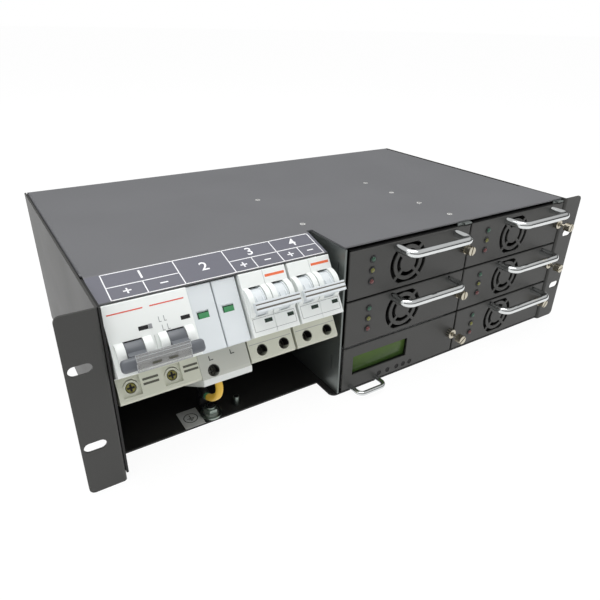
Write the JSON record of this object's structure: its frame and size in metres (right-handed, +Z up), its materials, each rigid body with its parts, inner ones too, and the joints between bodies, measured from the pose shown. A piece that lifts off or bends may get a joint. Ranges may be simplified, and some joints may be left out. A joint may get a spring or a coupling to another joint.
{
  "type": "rackmount dc power subrack",
  "caption": "Rack-mounted power subrack: plug-in modules with pull handles and fan grilles, and a wiring bay with breakers, surge protector and earth stud under a sloped label strip.",
  "frame": {"origin": "centre of the four rack slots, on the front face of the rack ears", "axes": "+X to the right seen from the front, +Y to the rear, +Z up"},
  "size_m": [0.4826, 0.2822, 0.1306],
  "materials": {
    "charcoal_paint": "fine satin powder coat",
    "grey_paint": "fine satin powder coat",
    "zinc_steel": "bright zinc plate",
    "circuit_board": "solder mask",
    "copper": "bare copper",
    "ivory_plastic": "moulded",
    "grey_plastic": "moulded",
    "white_plastic": "moulded",
    "black_plastic": "moulded",
    "plated_screw": "zinc plate",
    "nickel_screw": "satin nickel plate",
    "polished_chrome": "mirror polish",
    "aluminium_sheet": "mill finish",
    "wire_sleeve": "smooth insulation"
  },
  "bodies": {
    "chassis": {"bottom_tray": "charcoal_paint", "left_side_panel": "charcoal_paint", "right_side_panel": "charcoal_paint", "rear_panel": "zinc_steel", "top_cover": "grey_paint", "divider_wall": "zinc_steel", "module_uprights": "zinc_steel", "module_shelves": "zinc_steel", "din_rail": "zinc_steel", "backplane": "circuit_board", "bus_bars": "copper", "main_breaker_case": "ivory_plastic", "output_breaker_1_case": "ivory_plastic", "output_breaker_2_case": "ivory_plastic", "surge_base": "ivory_plastic", "terminal_screws": "plated_screw", "earth_studs": "plated_screw", "earth_lug": "plated_screw", "earth_wire": "wire_sleeve"},
    "rectifier_1": {"rectifier_1_case": "aluminium_sheet", "rectifier_1_front": "charcoal_paint", "rectifier_1_handle": "polished_chrome"},
    "rectifier_1_screw": {"rectifier_1_screw": "nickel_screw"},
    "rectifier_1_fan": {"rectifier_1_fan": "black_plastic"},
    "rectifier_2": {"rectifier_2_case": "aluminium_sheet", "rectifier_2_front": "charcoal_paint", "rectifier_2_handle": "polished_chrome"},
    "rectifier_2_screw": {"rectifier_2_screw": "nickel_screw"},
    "rectifier_2_fan": {"rectifier_2_fan": "black_plastic"},
    "rectifier_3": {"rectifier_3_case": "aluminium_sheet", "rectifier_3_front": "charcoal_paint", "rectifier_3_handle": "polished_chrome"},
    "rectifier_3_screw": {"rectifier_3_screw": "nickel_screw"},
    "rectifier_3_fan": {"rectifier_3_fan": "black_plastic"},
    "rectifier_4": {"rectifier_4_case": "aluminium_sheet", "rectifier_4_front": "charcoal_paint", "rectifier_4_handle": "polished_chrome"},
    "rectifier_4_screw": {"rectifier_4_screw": "nickel_screw"},
    "rectifier_4_fan": {"rectifier_4_fan": "black_plastic"},
    "rectifier_5": {"rectifier_5_case": "aluminium_sheet", "rectifier_5_front": "charcoal_paint", "rectifier_5_handle": "polished_chrome"},
    "rectifier_5_screw": {"rectifier_5_screw": "nickel_screw"},
    "rectifier_5_fan": {"rectifier_5_fan": "black_plastic"},
    "monitor": {"monitor_case": "aluminium_sheet", "monitor_front": "charcoal_paint", "monitor_handle": "polished_chrome", "monitor_display": "black_plastic"},
    "monitor_screw": {"monitor_screw": "nickel_screw"},
    "monitor_button_1": {"monitor_button_1": "black_plastic"},
    "monitor_button_2": {"monitor_button_2": "black_plastic"},
    "monitor_button_3": {"monitor_button_3": "black_plastic"},
    "monitor_button_4": {"monitor_button_4": "black_plastic"},
    "monitor_button_5": {"monitor_button_5": "black_plastic"},
    "main_toggle": {"main_breaker_toggle": "grey_plastic"},
    "output_toggle_1": {"output_breaker_1_toggle": "white_plastic"},
    "output_toggle_2": {"output_breaker_2_toggle": "white_plastic"},
    "surge_cartridge_1": {"surge_cartridge_1": "white_plastic"},
    "surge_cartridge_2": {"surge_cartridge_2": "white_plastic"}
  },
  "joints": [
    {"name": "rectifier_1_slide", "type": "slide", "parent": "chassis", "child": "rectifier_1", "axis": [0, -1, 0], "range_m": [0, 0.24]},
    {"name": "rectifier_1_screw_draw", "type": "slide", "parent": "rectifier_1", "child": "rectifier_1_screw", "axis": [0, -1, 0], "range_m": [0, 0.007]},
    {"name": "rectifier_1_fan_spin", "type": "hinge", "parent": "rectifier_1", "child": "rectifier_1_fan", "pos_m": [0.0201, 0.012, 0.0417], "axis": [0, 1, 0], "continuous": true},
    {"name": "rectifier_2_slide", "type": "slide", "parent": "chassis", "child": "rectifier_2", "axis": [0, -1, 0], "range_m": [0, 0.24]},
    {"name": "rectifier_2_screw_draw", "type": "slide", "parent": "rectifier_2", "child": "rectifier_2_screw", "axis": [0, -1, 0], "range_m": [0, 0.007]},
    {"name": "rectifier_2_fan_spin", "type": "hinge", "parent": "rectifier_2", "child": "rectifier_2_fan", "pos_m": [0.0201, 0.012, -0.0002], "axis": [0, 1, 0], "continuous": true},
    {"name": "rectifier_3_slide", "type": "slide", "parent": "chassis", "child": "rectifier_3", "axis": [0, -1, 0], "range_m": [0, 0.24]},
    {"name": "rectifier_3_screw_draw", "type": "slide", "parent": "rectifier_3", "child": "rectifier_3_screw", "axis": [0, -1, 0], "range_m": [-0.0065, 0.0005]},
    {"name": "rectifier_3_fan_spin", "type": "hinge", "parent": "rectifier_3", "child": "rectifier_3_fan", "pos_m": [0.1485, 0.012, 0.0417], "axis": [0, 1, 0], "continuous": true},
    {"name": "rectifier_4_slide", "type": "slide", "parent": "chassis", "child": "rectifier_4", "axis": [0, -1, 0], "range_m": [0, 0.24]},
    {"name": "rectifier_4_screw_draw", "type": "slide", "parent": "rectifier_4", "child": "rectifier_4_screw", "axis": [0, -1, 0], "range_m": [-0.0065, 0.0005]},
    {"name": "rectifier_4_fan_spin", "type": "hinge", "parent": "rectifier_4", "child": "rectifier_4_fan", "pos_m": [0.1485, 0.012, -0.0002], "axis": [0, 1, 0], "continuous": true},
    {"name": "rectifier_5_slide", "type": "slide", "parent": "chassis", "child": "rectifier_5", "axis": [0, -1, 0], "range_m": [0, 0.24]},
    {"name": "rectifier_5_screw_draw", "type": "slide", "parent": "rectifier_5", "child": "rectifier_5_screw", "axis": [0, -1, 0], "range_m": [0, 0.007]},
    {"name": "rectifier_5_fan_spin", "type": "hinge", "parent": "rectifier_5", "child": "rectifier_5_fan", "pos_m": [0.1485, 0.012, -0.0421], "axis": [0, 1, 0], "continuous": true},
    {"name": "monitor_slide", "type": "slide", "parent": "chassis", "child": "monitor", "axis": [0, -1, 0], "range_m": [0, 0.24]},
    {"name": "monitor_screw_draw", "type": "slide", "parent": "monitor", "child": "monitor_screw", "axis": [0, -1, 0], "range_m": [-0.0065, 0.0005]},
    {"name": "monitor_button_1_press", "type": "slide", "parent": "monitor", "child": "monitor_button_1", "axis": [0, 1, 0], "range_m": [0, 0.0012], "stiffness_N_per_m": 200, "springref_m": -0.001},
    {"name": "monitor_button_2_press", "type": "slide", "parent": "monitor", "child": "monitor_button_2", "axis": [0, 1, 0], "range_m": [0, 0.0012], "stiffness_N_per_m": 200, "springref_m": -0.001},
    {"name": "monitor_button_3_press", "type": "slide", "parent": "monitor", "child": "monitor_button_3", "axis": [0, 1, 0], "range_m": [0, 0.0012], "stiffness_N_per_m": 200, "springref_m": -0.001},
    {"name": "monitor_button_4_press", "type": "slide", "parent": "monitor", "child": "monitor_button_4", "axis": [0, 1, 0], "range_m": [0, 0.0012], "stiffness_N_per_m": 200, "springref_m": -0.001},
    {"name": "monitor_button_5_press", "type": "slide", "parent": "monitor", "child": "monitor_button_5", "axis": [0, 1, 0], "range_m": [0, 0.0012], "stiffness_N_per_m": 200, "springref_m": -0.001},
    {"name": "main_toggle_switch", "type": "hinge", "parent": "chassis", "child": "main_toggle", "pos_m": [-0.1867, 0.00471, 0.02806], "axis": [-1, 0, 0], "range_deg": [0, 50]},
    {"name": "output_toggle_1_switch", "type": "hinge", "parent": "chassis", "child": "output_toggle_1", "pos_m": [-0.1043, 0.01049, 0.03696], "axis": [-1, 0, 0], "range_deg": [0, 56]},
    {"name": "output_toggle_2_switch", "type": "hinge", "parent": "chassis", "child": "output_toggle_2", "pos_m": [-0.0662, 0.01049, 0.03696], "axis": [-1, 0, 0], "range_deg": [0, 56]},
    {"name": "surge_cartridge_1_pull", "type": "slide", "parent": "chassis", "child": "surge_cartridge_1", "axis": [0, -0.8536, 0.521], "range_m": [0, 0.05]},
    {"name": "surge_cartridge_2_pull", "type": "slide", "parent": "chassis", "child": "surge_cartridge_2", "axis": [0, -0.8536, 0.521], "range_m": [0, 0.05]}
  ]
}
